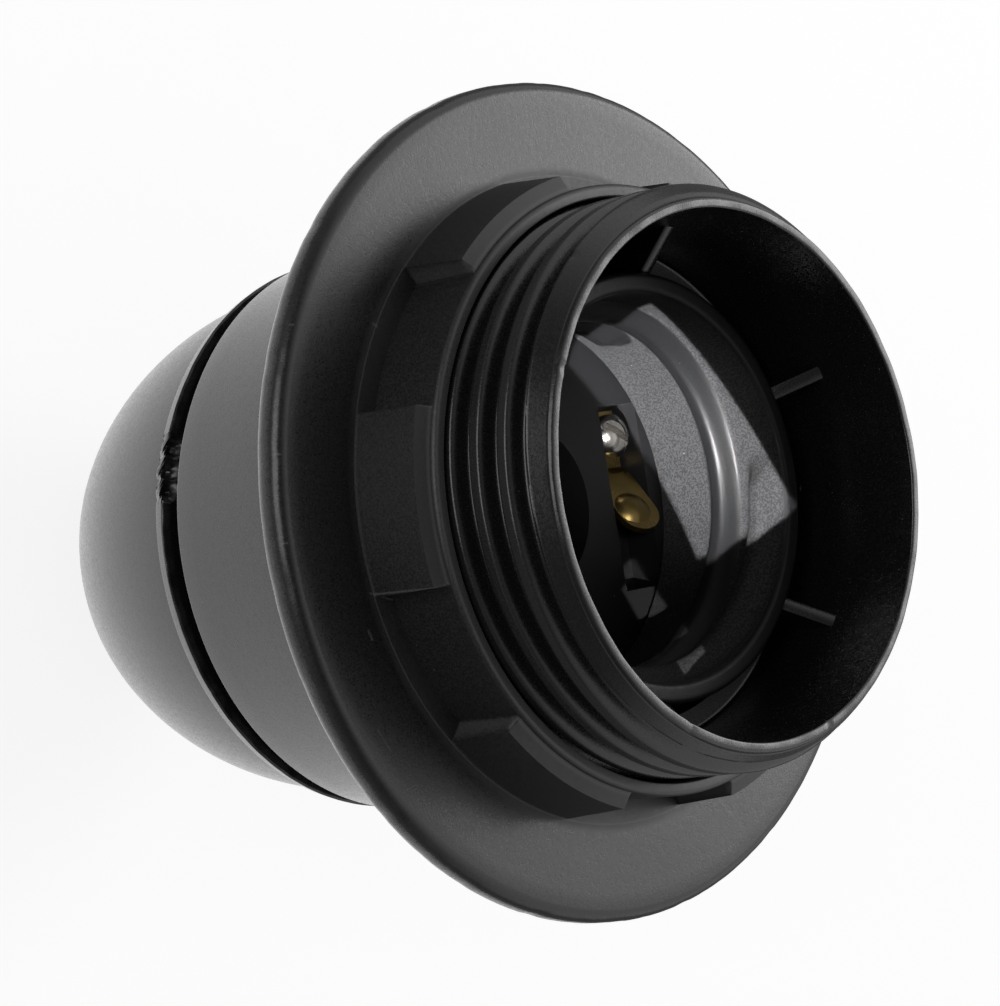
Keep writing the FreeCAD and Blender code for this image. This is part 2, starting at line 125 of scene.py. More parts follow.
class NodeShop:
    # adds and links the nodes of one material, or of the world
    def __init__(self, tree):
        self.tree = tree
        self.tree.nodes.clear()

    def link(self, value, socket):
        if isinstance(value, Wire):
            self.tree.links.new(value.socket, socket)
        elif socket.type == "RGBA" and len(value) == 3:
            socket.default_value = (*value, 1)
        else:
            socket.default_value = value

    def add(self, kind, settings, values, output=0):
        node = self.tree.nodes.new(kind)
        for key, value in settings.items():
            setattr(node, key, value)
        for key, value in values.items():
            self.link(value, node.inputs[key])
        return Wire(self, node.outputs[output]) if node.outputs else node

    def ray(self, kind):
        return self.add("ShaderNodeLightPath", {}, {}, "Is %s Ray" % kind)


class Finish(NodeShop):
    # one material, with the place on the object ready as x, y, z, radius and turn
    def __init__(self, name):
        self.material = bpy.data.materials.new(name)
        self.material.use_nodes = True
        super().__init__(self.material.node_tree)
        self.shader = self.tree.nodes.new("ShaderNodeBsdfPrincipled")
        self.out = self.tree.nodes.new("ShaderNodeOutputMaterial")
        self.tree.links.new(self.shader.outputs[0], self.out.inputs["Surface"])
        self.place = self.add("ShaderNodeTexCoord", {}, {}, "Object")
        self.x, self.y, self.z = [self.add("ShaderNodeSeparateXYZ", {}, {0: self.place}, k)
                                  for k in range(3)]
        self.r = (self.x * self.x + self.y * self.y) ** 0.5
        self.turn = self.y.sum("ARCTAN2", self.y, self.x) * (180 / math.pi)

    def noise(self, size, detail=3.0, rough=0.55, stretch=None):
        # size is the width of a blot in millimetres
        spot = self.place
        if stretch:
            spot = self.add("ShaderNodeVectorMath", {"operation": "MULTIPLY"}, {0: spot, 1: stretch})
        return self.add("ShaderNodeTexNoise", {}, {
            "Vector": spot, "Scale": 1 / (size * mm), "Detail": detail, "Roughness": rough})

    def specks(self, size, radius):
        # sparse round dots, 1 inside
        far = self.add("ShaderNodeTexVoronoi", {},
                       {"Vector": self.place, "Scale": 1 / (size * mm)}, "Distance")
        return 1 - far.above(radius, radius * 0.4)

    def streak(self, ax, ay, bx, by, width):
        # 1 along a straight line seen from above, 0 beside it, in millimetres
        run = max(math.dist((ax, ay), (bx, by)), 0.001)
        ux, uy = (bx - ax) / run, (by - ay) / run
        dx, dy = self.x - ax * mm, self.y - ay * mm
        past = (abs(dx * ux + dy * uy - run * mm / 2) - run * mm / 2).max(0.0)
        aside = dy * ux - dx * uy
        return 1 - ((aside * aside + past * past) ** 0.5).above(width * mm * 0.6, width * mm * 0.4)

    def mix(self, share, first, second):
        return self.add("ShaderNodeMix", {"data_type": "RGBA"}, {0: share, 6: first, 7: second}, 2)

    def bump(self, height, depth, under=None):
        # depth in millimetres for a height that runs from 0 to 1
        values = {"Height": height, "Distance": depth * mm, "Strength": 1.0}
        if under:
            values["Normal"] = under
        return self.add("ShaderNodeBump", {}, values)

    def set(self, **values):
        for key, value in values.items():
            self.link(value, self.shader.inputs[key.replace("_", " ")])
        return self.material


# Black moulded plastic

plastic = {
    "black": (0.0045, 0.0045, 0.005),
    "bloom": (0.010, 0.010, 0.0105),
    "rubbedAndHighlight": (0.090, 0.090, 0.094),
    "paleAndPaintedLight": (0.060, 0.060, 0.062),
    "dust": (0.20, 0.195, 0.18),
    "paleShare": 0.24,
    "chalkRough": 0.40,
    "roughness": 0.31,
    "grain": 0.14,
    "grainDepth": 0.006,
    "mottle": 0.5,
    "mottleDepth": 0.006,
    "wave": 9.0,
    "waveDepth": 0.03,
}


def blackPlastic(name, gloss=0.0, wearAndHighlight=None, paleAndPaintedLight=None, shine=0.80):
    # the two functions of the finish say where the surface is lighter: the first along edges and crests,
    # partly rubbed wear and partly painted highlight; the second where it is matt and paler, partly a real
    # matt surface and partly painted light and shade
    f = Finish(name)
    grain = f.noise(plastic["grain"], 2.0)
    mottle = f.noise(plastic["mottle"], 2.0)
    cloud = f.noise(14.0, 2.0)
    shade = f.mix(grain.above(0.58, 0.12) * 0.5 + cloud.above(0.56, 0.2) * 0.25,
                  plastic["black"], plastic["bloom"])
    rough = plastic["roughness"] - gloss + (grain - 0.5) * 0.34 + (mottle - 0.5) * 0.12
    if paleAndPaintedLight:
        matt = paleAndPaintedLight(f)
        rough = rough + matt * plastic["chalkRough"]
        # paler grainy colour where the mask says, partly a real matt surface and partly painted light and
        # shade
        paleGrain = (grain.above(0.5, 0.07) * 1.3 + 0.3) * matt
        shade = f.mix(paleGrain * plastic["paleShare"], shade, plastic["paleAndPaintedLight"])
    if wearAndHighlight:
        # lighter colour along the masked edges and crests, partly wear and partly painted highlight
        shade = f.mix((wearAndHighlight(f) * (0.35 + grain * 0.6)).clamped(), shade, plastic["rubbedAndHighlight"])
    dots = f.specks(1.7, 0.03) * cloud.above(0.52, 0.08)
    shade = f.mix(dots * 0.6, shade, plastic["dust"])
    wave = f.bump(f.noise(plastic["wave"], 1.0), plastic["waveDepth"])
    mottled = f.bump(mottle, plastic["mottleDepth"], wave)
    return f.set(Base_Color=shade, Roughness=rough, IOR=1.5, Specular_IOR_Level=shine,
                 Normal=f.bump(grain, plastic["grainDepth"], mottled))


def metal(name, colour, dark, rough, grain):
    f = Finish(name)
    tarnish = f.noise(1.8, 2.0, 0.5).above(0.52, 0.3)
    scratch = f.noise(0.5, 2.0, 0.5, (1.0, 9.0, 1.0))
    shade = f.mix(tarnish * 0.6, colour, dark)
    return f.set(Base_Color=shade, Metallic=1.0, Roughness=rough + tarnish * 0.12 + (scratch - 0.5) * 0.2,
                 Normal=f.bump(scratch, grain))


print("finishes ready")


# Mesh building


def paved(corners, step):
    # a closed or open run through (radius, height) corners, with each straight part cut into short steps
    rows = []
    for a, b in zip(corners, corners[1:]):
        count = max(1, math.ceil(math.dist(a, b) / step))
        rows += [(a[0] + (b[0] - a[0]) * k / count, a[1] + (b[1] - a[1]) * k / count) for k in range(count)]
    return rows + [corners[-1]]


def rounded(corners, closed=True):
    # corners are (radius, height, rounding); each rounding becomes a short arc
    count = len(corners)
    rows = []
    for k, (r, z, fillet) in enumerate(corners):
        here = Vector((r, z))
        if fillet <= 0 or (not closed and k in (0, count - 1)):
            rows.append((r, z))
            continue
        before = (Vector(corners[k - 1][:2]) - here).normalized()
        after = (Vector(corners[(k + 1) % count][:2]) - here).normalized()
        half = before.angle(after) / 2
        trim = fillet / math.tan(half)
        centre = here + (before + after).normalized() * fillet / math.sin(half)
        start = here + before * trim - centre
        swing = (here + after * trim - centre).angle_signed(start)
        pieces = max(3, math.ceil(abs(math.degrees(swing)) / 15))
        for i in range(pieces + 1):
            a = swing * i / pieces
            rows.append((centre.x + start.x * math.cos(a) - start.y * math.sin(a),
                         centre.y + start.x * math.sin(a) + start.y * math.cos(a)))
    return rows + rows[:1] if closed else rows


def smoothStep(x):
    x = np.clip(x, 0, 1)
    return x * x * (3 - 2 * x)


def spinMesh(name, rows, turns, warp=None, sharp=38):
    # the closed section swept round Z; warp(radius, height, turn) may move its points
    rows = rows[:-1] if rows[0] == rows[-1] else rows
    section = np.array(rows)
    r, a = np.meshgrid(section[:, 0], np.radians(turns), indexing="ij")
    z, a = np.meshgrid(section[:, 1], np.radians(turns), indexing="ij")
    if warp:
        r, z = warp(r, z, np.degrees(a))
    points = np.stack([r * np.cos(a), r * np.sin(a), z], -1).reshape(-1, 3) * mm
    high, wide = len(section), len(turns)
    i, j = np.meshgrid(np.arange(high), np.arange(wide), indexing="ij")
    i2, j2 = (i + 1) % high, (j + 1) % wide
    quads = np.stack([i * wide + j, i * wide + j2, i2 * wide + j2, i2 * wide + j], -1).reshape(-1, 4)
    return meshPiece(name, points, quads, sharp)


def meshPiece(name, points, faces, sharp=38):
    # edges are drawn sharp where two faces meet at more than this angle
    mesh = bpy.data.meshes.new(name)
    mesh.from_pydata(np.array(points).tolist(), [], [[int(corner) for corner in face] for face in faces])
    mesh.update()
    mesh.shade_smooth()
    mesh.set_sharp_from_angle(angle=math.radians(sharp))
    piece = bpy.data.objects.new(name, mesh)
    bpy.context.scene.collection.objects.link(piece)
    return piece


def evenTurns(count):
    return np.arange(count) * 360.0 / count


def waviness(a, sizes, seed):
    # a smooth, uneven wave round the axis; sizes are (cycles per turn, height)
    shake = np.random.RandomState(seed)
    total = np.zeros_like(a)
    for cycles, height in sizes:
        total += height * np.sin(np.radians(a * cycles) + shake.uniform(0, 6.28))
    return total


def hump(a, place, width):
    # 1 at an angle, 0 a width away from it
    off = (a - place + 180) % 360 - 180
    return smoothStep(1 - np.abs(off) / width)


# The threaded skirt

skirt = {
    "threadCrest": 20.0, "threadDepth": 1.2, "pitch": 2.5, "runoutTurn": -84.0, "runoutDrop": 0.75,
    "ridgeTop": 0.13, "ridgeFoot": 0.41, "chamferDrop": 1.66,
    "mouthBore": 18.07, "grooveBore": 17.5, "grooveDrop": 11.1, "floorThickness": 2.3,
    "shoulderDrop": 16.3, "barrelDrop": 34.8, "barrelWall": 1.6, "threadWall": 1.5,
    "sleeveDrop": 7.8, "sleeveLength": 11.9, "sleeveWall": 1.45, "sleeveLip": 0.4, "sleeveFoot": 1.5,
    "lampMajor": 13.5, "lampMinor": 12.2, "lampPitch": 3.629, "lampTurn": 90.0, "lampStart": 1.9,
    "lampEnd": 3.3, "lampFade": 0.12, "lampTop": 0.08, "lampFoot": 0.42,
    "spigotRoot": 16.3, "tubeBore": 14.8, "webs": 6, "webTurn": 50.4, "webWidth": 1.0,
    "webRise": 3.0, "webDrop": 0.7, "webLap": 0.4, "webBevel": 0.12, "floorLap": 1.5,
    "crestBandDepth": 0.2, "crestRun": 9.0, "crestWearAndHighlight": 0.12, "rimWearAndHighlight": 0.38, "leadDepth": 3.0,
    "nick": (-143.0, 1.1, 1.9, 0.14),  # turn, width, drop below the mouth, depth
    "chips": [(-118.0, 1.0, 0.12), (-31.0, 1.4, 0.08), (14.0, 0.9, 0.10)],  # turn, width, depth
}


def ridgeShape(phase, topShare, footShare):
    return 1 - smoothStep((np.abs(phase) - topShare) / (footShare - topShare))


def softLower(a, b, k):
    # the smaller of two, with a rounded meeting of width k
    h = np.clip(0.5 + 0.5 * (b - a) / k, 0, 1)
    return b * (1 - h) + a * h - k * h * (1 - h)


def skirtWall(s):
    root = s["threadCrest"] - s["threadDepth"]
    shoulder = mouthZ - s["shoulderDrop"]
    barrelBack = mouthZ - s["barrelDrop"]
    floorZ = mouthZ - s["grooveDrop"]
    innerR = root - s["threadWall"]
    barrelIn = barrelR - s["barrelWall"]
    threadRows = paved([(root, shoulder), (root, mouthZ - 0.3)], 0.085)
    section = (
        rounded([(root, mouthZ - 0.3, 0), (root, mouthZ, 0.28), (s["mouthBore"], mouthZ, 0.16),
                 (s["grooveBore"], floorZ, 0.3), (s["grooveBore"] - s["floorLap"], floorZ, 0)], False)
        + rounded([(innerR - s["floorLap"], floorZ - s["floorThickness"], 0),
                   (innerR, floorZ - s["floorThickness"], 0.2), (innerR, shoulder, 0.3),
                   (barrelIn, shoulder - s["barrelWall"], 0.6),
                   (barrelIn, barrelBack, 0.2), (barrelR, barrelBack, 0.25), (barrelR, shoulder, 0.12),
                   (root, shoulder, 0)], False)[:-1]
        + threadRows)
    section = paved(section, 1.6) + section[:1]

    def warp(r, z, a):
        onThread = (r > root - 0.01) & (r < root + 0.01) & (z > shoulder - 0.01)
        centre = mouthZ - s["runoutDrop"] + s["pitch"] * (a - s["runoutTurn"]) / 360
        phase = (z - centre) / s["pitch"]
        phase = phase - np.round(phase)
        ridge = root + s["threadDepth"] * ridgeShape(phase, s["ridgeTop"], s["ridgeFoot"])
        cone = root + (mouthZ - 0.25 - z) * s["threadDepth"] / (s["chamferDrop"] - 0.3)
        nickTurn, nickWidth, nickDrop, nickDepth = s["nick"]
        nick = hump(a, nickTurn, nickWidth) * np.exp(-((z - mouthZ + nickDrop) / 0.5) ** 2)
        shaped = np.maximum(softLower(ridge, cone, 0.18), root) - nickDepth * nick
        r = np.where(onThread, shaped, r)
        edge = np.exp(-((z - mouthZ) / 0.25) ** 2)
        z = z + edge * waviness(a, [(7, 0.02), (19, 0.015), (43, 0.01)], 3)
        for turn, width, depth in s["chips"]:
            z = z - edge * depth * hump(a, turn, width)
        return r, z

    return spinMesh("skirtWall", section, evenTurns(380), warp, 80)


def lampSleeve(s):
    sleeveTop = mouthZ - s["sleeveDrop"]
    sleeveLow = sleeveTop - s["sleeveLength"]
    outer = s["lampMajor"] + s["sleeveWall"]
    section = rounded([
        (s["tubeBore"], spigotZ, 0.1), (s["spigotRoot"], spigotZ, 0.25),
        (s["spigotRoot"], sleeveLow - s["sleeveFoot"], 0.3), (outer, sleeveLow, 0.3),
        (outer, sleeveTop, s["sleeveLip"]), (s["lampMajor"], sleeveTop, s["sleeveLip"]),
        (s["lampMajor"], sleeveLow, 0.1), (s["tubeBore"], sleeveLow, 0.1)])
    section = paved(section, 0.22)

    def warp(r, z, a):
        # the thread begins at one angle near the lip and ends where the frame's does
        inside = (r < s["lampMajor"] + 0.01) & (z > sleeveLow)
        low, high = sleeveLow + s["lampEnd"], sleeveTop - s["lampStart"]
        centre = high + s["lampPitch"] * (a - s["lampTurn"]) / 360
        step = np.round((z - centre) / s["lampPitch"])
        centre = centre + step * s["lampPitch"]
        begun = smoothStep((high - centre) / s["lampFade"] + 0.5)
        fade = begun * smoothStep((centre - low) / s["lampFade"] + 0.5)
        height = s["lampMajor"] - s["lampMinor"]
        turnShape = ridgeShape((z - centre) / s["lampPitch"], s["lampTop"], s["lampFoot"])
        shaped = s["lampMajor"] - height * turnShape * fade
        r = np.where(inside, shaped, r)
        lip = np.exp(-((z - sleeveTop) / 0.3) ** 2)
        return r, z + lip * waviness(a, [(3, 0.03), (5, 0.02)], 8)

    return spinMesh("lampSleeve", section, evenTurns(360), warp, 80)


def grooveWebs(s):
    floorZ = mouthZ - s["grooveDrop"]
    inner = s["lampMajor"] + s["sleeveWall"] - 0.3
    outer = s["mouthBore"] - 0.05
    topIn = mouthZ - s["sleeveDrop"] - s["webDrop"]
    low = floorZ - s["webLap"]
    profile = rounded([(inner, low, 0), (outer, low, 0), (outer, topIn + s["webRise"], 0.15),
                       (inner, topIn, 0)])[:-1]
    half, bevel = s["webWidth"] / 2, s["webBevel"]
    points, faces = [], []
    for k in range(s["webs"]):
        turn = math.radians(s["webTurn"] + 360 / s["webs"] * k)
        start = len(points)
        count = len(profile)
        for side, lift in ((-half, 0), (-half + bevel, bevel), (half - bevel, bevel), (half, 0)):
            for r, z in profile:
                x = r * math.cos(turn) - side * math.sin(turn)
                y = r * math.sin(turn) + side * math.cos(turn)
                points.append(Vector((x, y, z + (lift if z > floorZ else 0))) * mm)
        for layer in range(3):
            for i in range(count):
                j = (i + 1) % count
                a = start + layer * count
                faces.append((a + i, a + j, a + count + j, a + count + i))
        faces.append(tuple(start + i for i in reversed(range(count))))
        faces.append(tuple(start + 3 * count + i for i in range(count)))
    return meshPiece("grooveWebs", points, faces)


def skirtWearAndHighlight(f):
    # the thread crests near the mouth and the mouth rim are painted lighter, partly wear and partly painted
    # highlight
    crestBand = f.r.above((skirt["threadCrest"] - skirt["crestBandDepth"]) * mm, 0.16 * mm)
    crest = crestBand * f.z.above((mouthZ - skirt["crestRun"]) * mm, 0.5 * mm)
    rim = f.z.near(mouthZ * mm, 0.14 * mm)
    return crest * skirt["crestWearAndHighlight"] + rim * skirt["rimWearAndHighlight"]


def sleevePaleWallShadedTurns(f):
    # the wall between the turns is matt and painted paler, while the turns themselves and the lip stay
    # smooth and black, so the turns read as a dark band across the lit wall: a painted shade; near the lip
    # the turns are painted pale as well
    lip = mouthZ - skirt["sleeveDrop"]
    lead = f.z.above((lip - skirt["leadDepth"]) * mm, 0.25 * mm)
    wallOnly = f.r.above((skirt["lampMajor"] - 0.09) * mm, 0.05 * mm).max(lead)
    return wallOnly * (1 - f.z.above((lip - 0.3) * mm, 0.1 * mm))


wall = skirtWall(skirt)
sleeve = lampSleeve(skirt)
webs = grooveWebs(skirt)
skirtFinish = blackPlastic("skirtPlastic", 0.04, skirtWearAndHighlight)
sleeveFinish = blackPlastic("sleevePlastic", -0.12, None, sleevePaleWallShadedTurns, 0.2)
for piece, finish in ((wall, skirtFinish), (sleeve, sleeveFinish), (webs, skirtFinish)):
    piece.data.materials.append(finish)
    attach(piece, "skirt")
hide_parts("threaded_skirt")
print("skirt made")


# The shade ring

ring = {
    "flangeThickness": 2.45, "flangeRound": 0.9,
    "collarBore": 20.26, "collarWall": 0.9, "collarRound": 0.38,
    "recess": 0.3, "recessWall": 20.9, "lugs": 6, "lugSpan": 32.0, "lugTurn": -95.0,
    "lugBase": 22.7, "lugTop": 22.24, "lugDrop": 0.4, "lugEnd": 0.9, "lugShelf": 0.18, "closeIn": 1.6,
    "closeOut": 1.2, "collarHead": 0.45, "witnessR": 22.75, "rimWearAndHighlight": 0.25, "collarWearAndHighlight": 0.8,
    "witnessWear": 0.9, "lugEdgeWearAndHighlight": 0.9, "lugEndWearAndHighlight": 0.6, "lugPaintedLight": 0.4,
    "thinLines": [
        # from x, y to x, y, width
        (-23.0, -12.0, -20.4, -11.1, 0.10), (22.8, 8.1, 25.1, 10.1, 0.12), (3.8, -22.7, 4.5, -20.8, 0.10),
        (6.2, -23.4, 6.8, -23.2, 0.14), (-13.7, -18.5, -13.5, -18.2, 0.16), (17.2, 21.4, 18.6, 20.9, 0.07),
        (-26.1, 6.2, -25.2, 8.4, 0.06), (12.6, -24.0, 14.2, -23.1, 0.06),
        (-14.3, -25.9, -14.2, -25.5, 0.12), (-6.1, -28.9, -6.0, -28.5, 0.12),
        (-0.3, -29.5, -0.3, -29.1, 0.10),
    ],
}


def ringTurns(s):
    # close steps where the lugs end, wider ones between
    turns = []
    pitch = 360 / s["lugs"]
    for k in range(s["lugs"]):
        middle = s["lugTurn"] + pitch * k
        half = s["lugSpan"] / 2
        marks = [middle - half - s["closeOut"], middle - half + s["closeIn"], middle + half - s["closeIn"],
                 middle + half + s["closeOut"], middle + pitch - half - s["closeOut"]]
        for start, end, count in zip(marks, marks[1:], (15, 24, 15, 24)):
            turns += list(np.linspace(start, end, count, endpoint=False))
    return np.array(turns)


def shadeRing(s):
    front = ringBackZ + s["flangeThickness"]
    seat = ringBackZ + s["recess"]
    collarOut = s["collarBore"] + s["collarWall"]
    flat = rounded([
        (s["collarBore"], seat, 0.1), (s["recessWall"], seat, 0), (s["recessWall"], ringBackZ, 0.1),
        (flangeR, ringBackZ, s["flangeRound"]), (flangeR, front, s["flangeRound"]),
        (s["lugBase"] + 0.6, front, 0)], False)
    flat = paved(flat, 1.2)
    head = collarTopZ - s["collarHead"]
    upright = paved([(collarOut, front), (collarOut, head)], 0.35)
    bore = rounded([(collarOut, head, 0), (collarOut, collarTopZ, s["collarRound"]),
                    (s["collarBore"], collarTopZ, 0.12), (s["collarBore"], seat, 0)], False)
    section = flat + upright + paved(bore[1:], 0.8)
    section.append(section[0])

    def warp(r, z, a):
        pitch = 360 / s["lugs"]
        off = np.abs((a - s["lugTurn"] + pitch / 2) % pitch - pitch / 2)
        onLug = smoothStep((s["lugSpan"] / 2 + 0.35 - off) / s["lugEnd"])
        height = collarTopZ - front
        up = np.clip((z - front) / height, 0, 1)
        lugR = s["lugBase"] + (s["lugTop"] - s["lugBase"]) * up
        outerWall = (np.abs(r - collarOut) < 0.01) & (z >= front - 0.01)
        lugTopZ = collarTopZ - s["lugDrop"]
        shelf = smoothStep((lugTopZ - z) / s["lugShelf"])
        r = np.where(outerWall, r + (lugR - r) * onLug * shelf, r)
        rough = waviness(a, [(23, 0.02), (51, 0.02), (87, 0.015)], 5)
        return r + np.minimum(rough, 0) * (r > flangeR - 0.3), z

    return spinMesh("flangedRing", section, ringTurns(s), warp)


def ringWearAndHighlight(f):
    # lightens the flange rim, the collar top, the witness line, the lug edges, the lug ends and the listed
    # scratches; the rim, collar and lug lines are partly wear and partly painted highlight, while the
    # witness line and the scratches are marks
    front = (ringBackZ + ring["flangeThickness"]) * mm
    rim = f.r.near(flangeR * mm, 0.35 * mm) * ring["rimWearAndHighlight"]
    collar = f.z.near(collarTopZ * mm, 0.16 * mm) * ring["collarWearAndHighlight"]
    witness = f.r.near(ring["witnessR"] * mm, 0.10 * mm) * f.z.near(front, 0.3 * mm) * ring["witnessWear"]
    pitch = 360 / ring["lugs"]
    off = f.turn - (ring["lugTurn"] - 3.5 * pitch)
    off = abs(off.sum("MODULO", off, pitch) - pitch / 2)
    lugZ = (collarTopZ - ring["lugDrop"]) * mm
    beyond = f.r.above((ring["collarBore"] + ring["collarWall"] + 0.1) * mm, 0.1 * mm)
    lugEdge = f.z.near(lugZ, 0.12 * mm) * beyond * ring["lugEdgeWearAndHighlight"]
    lugEnd = off.near(ring["lugSpan"] / 2, 0.55) * beyond * f.z.above(front + 0.15 * mm, 0.1 * mm)
    lugEnd = lugEnd * ring["lugEndWearAndHighlight"] * (1 - f.r.above((ring["lugBase"] + 0.2) * mm, 0.1 * mm))
    # the lug edge and lug end lines are painted highlights as much as wear
    thinLines = lugEdge + lugEnd
    for scratch in ring["thinLines"]:
        thinLines = f.streak(*scratch) + thinLines
    return rim + collar + witness + thinLines * f.z.above(front - 0.4 * mm, 0.1 * mm)


def ringLugsPaintedLight(f):
    # the lugs and the pockets between them are painted greyer than the flange, a painted light that stands
    # for the light they catch, and are made matt
    lugs = 1 - f.r.above((ring["lugBase"] + 0.5) * mm, 0.3 * mm)
    raised = f.z.above((ringBackZ + ring["flangeThickness"] - 0.3) * mm, 0.2 * mm)
    return lugs * raised * ring["lugPaintedLight"]


flanged = shadeRing(ring)
flanged.data.materials.append(blackPlastic("ringPlastic", 0.0, ringWearAndHighlight, ringLugsPaintedLight))
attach(flanged, "ring")
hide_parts("shade_ring")
print("ring made")


# The dome

dome = {
    "neckHeight": 5.4, "domeHeight": 18.8, "radius": 19.0, "sweep": 27.0, "shoulder": 6.5, "wall": 1.6,
    "neckR": 7.0, "bore": 4.5, "neckFillet": 0.8, "rimDraft": 0.3, "rimStep": 0.35, "innerR": 17.3,
    "ledgeZ": 20.3, "tearTurn": -110.0, "neckCut": 3.0, "boreCut": 4.0,
    "tears": [(-4.6, 3.2, 1.05), (0.2, 3.0, 1.4), (4.2, 3.4, 0.9)],  # turn from tearTurn, width, depth
    "flashTurns": [-63.0, -38.0, -20.0], "flashHeight": 0.09, "rimWearAndHighlight": 0.35, "stepHighlight": 0.25,
}


def arcRun(centre, radius, start, end, step=4.0):
    count = max(2, math.ceil(abs(end - start) / step))
    turns = [math.radians(start + (end - start) * k / count) for k in range(count + 1)]
    return [(centre[0] + radius * math.cos(a), centre[1] + radius * math.sin(a)) for a in turns]


def domeCap(s):
    bandBack = s["neckHeight"] + s["domeHeight"]
    side = (s["radius"] - s["sweep"], bandBack)
    pivotZ = s["neckHeight"] + s["shoulder"]
    span = s["sweep"] - s["shoulder"]
    pivot = (side[0] + math.sqrt(span ** 2 - (bandBack - pivotZ) ** 2), pivotZ)
    lean = math.degrees(math.asin((bandBack - pivotZ) / span))
    fillet = (s["neckR"] + s["neckFillet"], s["neckHeight"] - s["neckFillet"])
    rise = math.degrees(math.asin((bandBack - s["ledgeZ"]) / (s["sweep"] - s["wall"])))
    section = rounded([
        (s["innerR"], domeTopZ - 0.6, 0), (s["innerR"], domeTopZ, 0.12), (domeR, domeTopZ, 0.18),
        (domeR - s["rimDraft"], bandBack + s["rimStep"], 0.12), (s["radius"] + 0.05, bandBack, 0)], False)
    section = paved(section, 0.3)
    section += arcRun(side, s["sweep"], 0, -lean, 1.5)
    section += arcRun(pivot, s["shoulder"], -lean, -90)[1:]
    section += arcRun(fillet, s["neckFillet"], 90, 180, 15)
    section += rounded([(s["neckR"], s["neckCut"], 0), (s["neckR"], 0, 0.3), (s["bore"], 0, 0.3),
                        (s["bore"], s["boreCut"], 0)], False)
    inside = s["neckHeight"] + s["wall"]
    section += paved([(s["bore"], s["boreCut"] + 0.5), (s["bore"], inside), (pivot[0], inside)], 1.0)
    section += arcRun(pivot, s["shoulder"] - s["wall"], -90, -lean)[1:]
    section += arcRun(side, s["sweep"] - s["wall"], -lean, -rise)[1:]
    section += paved([(s["innerR"], s["ledgeZ"]), (s["innerR"], domeTopZ - 0.6)], 0.5)
    section[-1] = section[0]

    shake = np.random.RandomState(11)
    fine = [(k, 0.05) for k in (61, 97, 143, 211)]

    def warp(r, z, a):
        band = smoothStep((z - bandBack + 0.6) / 0.5) * (r > s["innerR"] + 0.05)
        torn = np.zeros_like(a)
        for place, width, depth in s["tears"]:
            torn = np.maximum(torn, depth * hump(a, s["tearTurn"] + place, width))
        ragged = np.where(torn > 0.02, waviness(a + z * 9, fine, 21) * 1.6, 0)
        outer = smoothStep((r - domeR + 1.4) / 0.8)
        z = z - band * outer * (torn + ragged * 0.5) * smoothStep((z - bandBack) / 0.8)
        r = r - band * outer * (torn * 0.55 + ragged * 0.35)
        flash = waviness(a, [(13, 0.03), (37, 0.025), (71, 0.02)], 4)
        for place in s["flashTurns"]:
            flash = flash + s["flashHeight"] * hump(a, place, 1.0)
        edge = np.exp(-((z - domeTopZ) / 0.2) ** 2) * outer
        return r, z + edge * flash - 0.06 * edge

    # close steps across the tear
    turns = np.concatenate([np.linspace(-124, -96, 170, endpoint=False),
                            np.linspace(-96, 236, 300, endpoint=False)])
    return spinMesh("domeShell", section, turns, warp)


def domeWearAndHighlight(f):
    # the dome's top edge is painted lighter, partly wear and partly painted highlight; the light line on
    # the step below it is a painted highlight
    bandBack = dome["neckHeight"] + dome["domeHeight"]
    rim = f.z.near(domeTopZ * mm, 0.16 * mm) * f.r.above((dome["radius"] + 0.6) * mm, 0.2 * mm)
    step = f.z.near((bandBack + 0.15) * mm, 0.12 * mm) * f.r.above((dome["radius"] - 0.4) * mm, 0.2 * mm)
    return rim * dome["rimWearAndHighlight"] + step * dome["stepHighlight"]


shell = domeCap(dome)
shell.data.materials.append(blackPlastic("domePlastic", 0.0, domeWearAndHighlight))
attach(shell, "dome")
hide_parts("dome_cap")
print("dome made")


# The contact parts and the lock screw keep their shapes from the frame

nickel = metal("nickelPlate", (0.78, 0.75, 0.70), (0.42, 0.38, 0.34), 0.16, 0.004)
# the brass colour is darkened to the dim look of the leaf deep in the mouth, a painted shade
shadedBrass = metal("shadedSatinBrass", (0.25, 0.175, 0.06), (0.12, 0.085, 0.03), 0.28, 0.001)
bronze = metal("springBronze", (0.62, 0.40, 0.20), (0.30, 0.16, 0.08), 0.32, 0.006)
blockPlastic = blackPlastic("blockPlastic", -0.22, None, None, 0.25)
finishes = {
    "entry_lock_screw": nickel, "centre_clamp_screw": nickel, "side_clamp_screw": nickel,
    "centre_contact_screw": nickel, "side_contact_screw": nickel, "centre_terminal": shadedBrass,
    "side_terminal": shadedBrass, "side_contact": shadedBrass, "centre_contact": bronze, "contact_block": blockPlastic,
}
for node, finish in finishes.items():
    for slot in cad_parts[node].material_slots:
        slot.material = finish
print("contacts finished")


# Floor, light and camera

